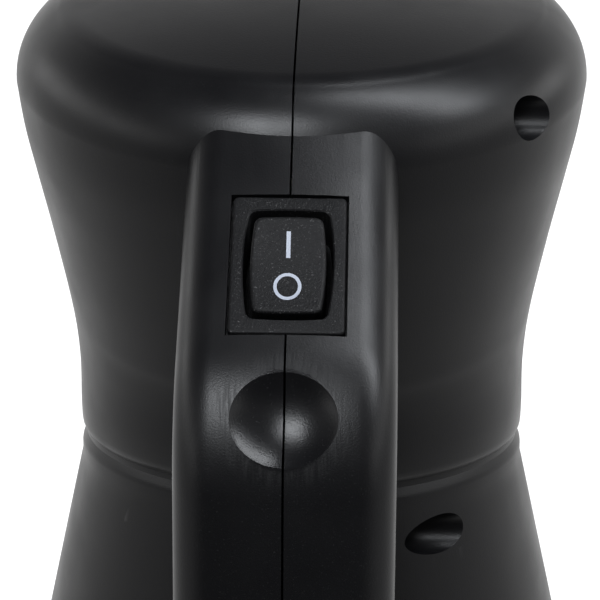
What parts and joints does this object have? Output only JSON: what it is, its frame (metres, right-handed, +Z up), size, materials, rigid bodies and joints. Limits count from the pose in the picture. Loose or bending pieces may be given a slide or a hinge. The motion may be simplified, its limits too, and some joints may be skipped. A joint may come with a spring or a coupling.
{
  "type": "electric can opener",
  "caption": "Upright electric can opener: bell-shaped motor housing on a flared skirt, D handle with rocker switch, geared drive wheel, side cutter and lever.",
  "frame": {"origin": "middle of the object's footprint, on the surface that its feet stand on", "axes": "+Z up along the motor and drive shafts, -Y towards the handle, +Y towards the can opening, -X towards the lever"},
  "size_m": [0.1412, 0.1398, 0.184],
  "materials": {
    "housing_plastic": "satin moulded",
    "switch_plastic": "fine grain",
    "steel": "brushed",
    "zinc_plate": "zinc plated",
    "lamination": "stamped",
    "copper": "drawn",
    "brass": "cut",
    "bronze": "sintered",
    "nylon": "natural",
    "carbon": "pressed",
    "magnet": "sintered",
    "board": "laminate",
    "rubber": "matte",
    "wire": "smooth"
  },
  "bodies": {
    "housing": {"housing_right": "housing_plastic", "housing_left": "housing_plastic", "switch_frame": "switch_plastic", "switch_terminal_line": "brass", "switch_terminal_load": "brass", "motor_can": "zinc_plate", "field_magnet_right": "magnet", "field_magnet_left": "magnet", "rectifier_board": "board", "motor_end_cap": "nylon", "bearing_bottom": "steel", "bearing_top": "steel", "brush_right": "carbon", "brush_left": "carbon", "first_gear_axle": "steel", "second_gear_axle": "steel", "lower_gear_plate": "zinc_plate", "upper_gear_plate": "zinc_plate", "plate_spacer_1": "zinc_plate", "plate_spacer_2": "zinc_plate", "plate_spacer_3": "zinc_plate", "output_bush_upper": "bronze", "output_bush_lower": "bronze", "head_plate": "steel", "head_screw_1": "steel", "head_screw_2": "steel", "head_screw_3": "steel", "arm_pivot_pin": "steel", "arm_spring": "steel", "guide_post_left": "steel", "guide_post_right": "steel", "housing_screw_1": "steel", "housing_screw_2": "steel", "housing_screw_3": "steel", "housing_screw_4": "steel", "foot_1": "rubber", "foot_2": "rubber", "foot_3": "rubber", "foot_4": "rubber", "cord_gland": "rubber", "lead_mains_to_switch": "wire", "lead_switch_to_motor": "wire"},
    "rocker": {"switch_rocker": "switch_plastic"},
    "rotor": {"rotor_shaft": "steel", "armature_core": "lamination", "commutator": "copper", "cooling_fan": "nylon", "motor_pinion": "brass"},
    "first_gear": {"first_gear": "nylon"},
    "second_gear": {"second_gear": "nylon"},
    "output": {"output_gear": "steel", "output_shaft": "steel", "drive_wheel": "steel", "drive_nut": "steel"},
    "cutter_arm": {"cutter_arm": "steel", "lever_knob": "housing_plastic", "cutter_screw": "steel"},
    "cutter_wheel": {"cutter_wheel": "steel"},
    "lid_magnet": {"magnet_cup": "steel", "lid_magnet": "magnet"}
  },
  "joints": [
    {"name": "rocker_tilt", "type": "hinge", "parent": "housing", "child": "rocker", "pos_m": [0.01191, -0.03235, 0.16026], "axis": [-1, 0, 0], "range_deg": [0, 16]},
    {"name": "rotor_spin", "type": "hinge", "parent": "housing", "child": "rotor", "pos_m": [0.01191, 0.02442, 0.125], "axis": [0, 0, 1], "continuous": true},
    {"name": "first_gear_spin", "type": "hinge", "parent": "housing", "child": "first_gear", "pos_m": [0.02821, 0.02442, 0.083], "axis": [0, 0, 1], "continuous": true},
    {"name": "second_gear_spin", "type": "hinge", "parent": "housing", "child": "second_gear", "pos_m": [0.01191, 0.013, 0.083], "axis": [0, 0, 1], "continuous": true},
    {"name": "drive_wheel_spin", "type": "hinge", "parent": "housing", "child": "output", "pos_m": [0.01191, 0.0381, 0.05635], "axis": [0, 0, 1], "continuous": true},
    {"name": "cutter_arm_swing", "type": "hinge", "parent": "housing", "child": "cutter_arm", "pos_m": [-0.01409, 0.02071, 0.0217], "axis": [0, 0, 1], "range_deg": [-24, 0]},
    {"name": "cutter_wheel_spin", "type": "hinge", "parent": "cutter_arm", "child": "cutter_wheel", "pos_m": [0.01191, 0.02071, 0.0197], "axis": [0, 0, 1], "continuous": true},
    {"name": "lid_magnet_lift", "type": "slide", "parent": "housing", "child": "lid_magnet", "axis": [0, 0, 1], "range_m": [0, 0.0035]}
  ],
  "couplings": [
    {"joint": "first_gear_spin", "follows": "rotor_spin", "ratio": -0.28571},
    {"joint": "second_gear_spin", "follows": "rotor_spin", "ratio": 0.10714},
    {"joint": "drive_wheel_spin", "follows": "rotor_spin", "ratio": -0.045918}
  ]
}
